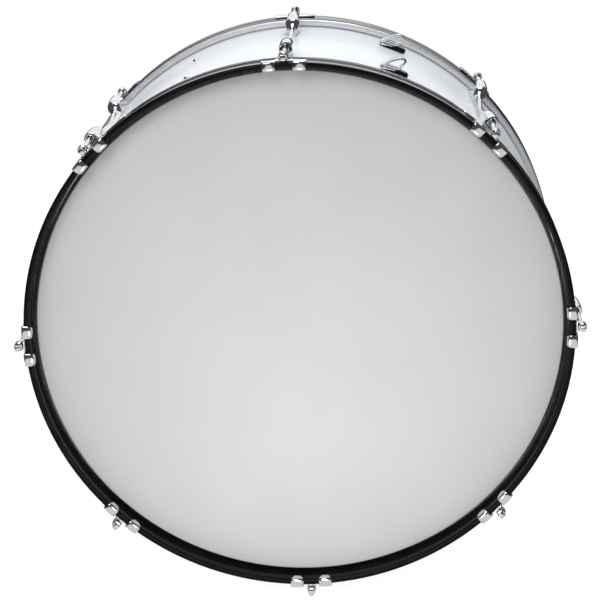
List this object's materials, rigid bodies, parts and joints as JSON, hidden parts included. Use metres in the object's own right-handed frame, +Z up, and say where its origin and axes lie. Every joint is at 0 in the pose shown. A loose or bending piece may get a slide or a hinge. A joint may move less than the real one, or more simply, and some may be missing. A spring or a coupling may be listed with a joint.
{
  "type": "marching bass drum",
  "caption": "Shallow double-headed marching bass drum with wooden counterhoops, double-ended lugs, claw hooks, key tension rods and carrier eyes.",
  "frame": {"origin": "middle of the drum, on the shell's axis", "axes": "+Y along the drum's axis from the front head to the rear head, +Z up through the top lug, +X to the right seen from the front"},
  "size_m": [0.7088, 0.373, 0.7088],
  "materials": {
    "shell_lacquer": "high-gloss white lacquer",
    "film": "matt coated white film",
    "hoop_lacquer": "high-gloss black lacquer",
    "flesh_hoop_metal": "satin",
    "chrome": "bright chrome plate"
  },
  "bodies": {
    "drum": {"shell": "shell_lacquer", "front_head": "film", "rear_head": "film", "front_flesh_hoop": "flesh_hoop_metal", "rear_flesh_hoop": "flesh_hoop_metal", "front_counterhoop": "hoop_lacquer", "rear_counterhoop": "hoop_lacquer", "front_bracket": "chrome", "rear_bracket": "chrome", "lug_1": "chrome", "front_claw_1": "chrome", "rear_claw_1": "chrome", "lug_2": "chrome", "front_claw_2": "chrome", "rear_claw_2": "chrome", "lug_3": "chrome", "front_claw_3": "chrome", "rear_claw_3": "chrome", "lug_4": "chrome", "front_claw_4": "chrome", "rear_claw_4": "chrome", "lug_5": "chrome", "front_claw_5": "chrome", "rear_claw_5": "chrome", "lug_6": "chrome", "front_claw_6": "chrome", "rear_claw_6": "chrome", "lug_7": "chrome", "front_claw_7": "chrome", "rear_claw_7": "chrome", "lug_8": "chrome", "front_claw_8": "chrome", "rear_claw_8": "chrome", "bracket_screw_1": "chrome", "bracket_screw_2": "chrome", "bracket_screw_3": "chrome", "bracket_screw_4": "chrome", "spare_hole_screw_1": "chrome", "spare_hole_screw_2": "chrome"},
    "front_rod_1_body": {"front_rod_1": "chrome"},
    "rear_rod_1_body": {"rear_rod_1": "chrome"},
    "front_rod_2_body": {"front_rod_2": "chrome"},
    "rear_rod_2_body": {"rear_rod_2": "chrome"},
    "front_rod_3_body": {"front_rod_3": "chrome"},
    "rear_rod_3_body": {"rear_rod_3": "chrome"},
    "front_rod_4_body": {"front_rod_4": "chrome"},
    "rear_rod_4_body": {"rear_rod_4": "chrome"},
    "front_rod_5_body": {"front_rod_5": "chrome"},
    "rear_rod_5_body": {"rear_rod_5": "chrome"},
    "front_rod_6_body": {"front_rod_6": "chrome"},
    "rear_rod_6_body": {"rear_rod_6": "chrome"},
    "front_rod_7_body": {"front_rod_7": "chrome"},
    "rear_rod_7_body": {"rear_rod_7": "chrome"},
    "front_rod_8_body": {"front_rod_8": "chrome"},
    "rear_rod_8_body": {"rear_rod_8": "chrome"}
  },
  "joints": [
    {"name": "front_rod_1_turn", "type": "hinge", "parent": "drum", "child": "front_rod_1_body", "pos_m": [0, -0.17, 0.347], "axis": [0, 1, 0], "continuous": true},
    {"name": "rear_rod_1_turn", "type": "hinge", "parent": "drum", "child": "rear_rod_1_body", "pos_m": [0, 0.17, 0.347], "axis": [0, 1, 0], "continuous": true},
    {"name": "front_rod_2_turn", "type": "hinge", "parent": "drum", "child": "front_rod_2_body", "pos_m": [0.24537, -0.17, 0.24537], "axis": [0, 1, 0], "continuous": true},
    {"name": "rear_rod_2_turn", "type": "hinge", "parent": "drum", "child": "rear_rod_2_body", "pos_m": [0.24537, 0.17, 0.24537], "axis": [0, 1, 0], "continuous": true},
    {"name": "front_rod_3_turn", "type": "hinge", "parent": "drum", "child": "front_rod_3_body", "pos_m": [0.347, -0.17, 0], "axis": [0, 1, 0], "continuous": true},
    {"name": "rear_rod_3_turn", "type": "hinge", "parent": "drum", "child": "rear_rod_3_body", "pos_m": [0.347, 0.17, 0], "axis": [0, 1, 0], "continuous": true},
    {"name": "front_rod_4_turn", "type": "hinge", "parent": "drum", "child": "front_rod_4_body", "pos_m": [0.24537, -0.17, -0.24537], "axis": [0, 1, 0], "continuous": true},
    {"name": "rear_rod_4_turn", "type": "hinge", "parent": "drum", "child": "rear_rod_4_body", "pos_m": [0.24537, 0.17, -0.24537], "axis": [0, 1, 0], "continuous": true},
    {"name": "front_rod_5_turn", "type": "hinge", "parent": "drum", "child": "front_rod_5_body", "pos_m": [0, -0.17, -0.347], "axis": [0, 1, 0], "continuous": true},
    {"name": "rear_rod_5_turn", "type": "hinge", "parent": "drum", "child": "rear_rod_5_body", "pos_m": [0, 0.17, -0.347], "axis": [0, 1, 0], "continuous": true},
    {"name": "front_rod_6_turn", "type": "hinge", "parent": "drum", "child": "front_rod_6_body", "pos_m": [-0.24537, -0.17, -0.24537], "axis": [0, 1, 0], "continuous": true},
    {"name": "rear_rod_6_turn", "type": "hinge", "parent": "drum", "child": "rear_rod_6_body", "pos_m": [-0.24537, 0.17, -0.24537], "axis": [0, 1, 0], "continuous": true},
    {"name": "front_rod_7_turn", "type": "hinge", "parent": "drum", "child": "front_rod_7_body", "pos_m": [-0.347, -0.17, 0], "axis": [0, 1, 0], "continuous": true},
    {"name": "rear_rod_7_turn", "type": "hinge", "parent": "drum", "child": "rear_rod_7_body", "pos_m": [-0.347, 0.17, 0], "axis": [0, 1, 0], "continuous": true},
    {"name": "front_rod_8_turn", "type": "hinge", "parent": "drum", "child": "front_rod_8_body", "pos_m": [-0.24537, -0.17, 0.24537], "axis": [0, 1, 0], "continuous": true},
    {"name": "rear_rod_8_turn", "type": "hinge", "parent": "drum", "child": "rear_rod_8_body", "pos_m": [-0.24537, 0.17, 0.24537], "axis": [0, 1, 0], "continuous": true}
  ]
}
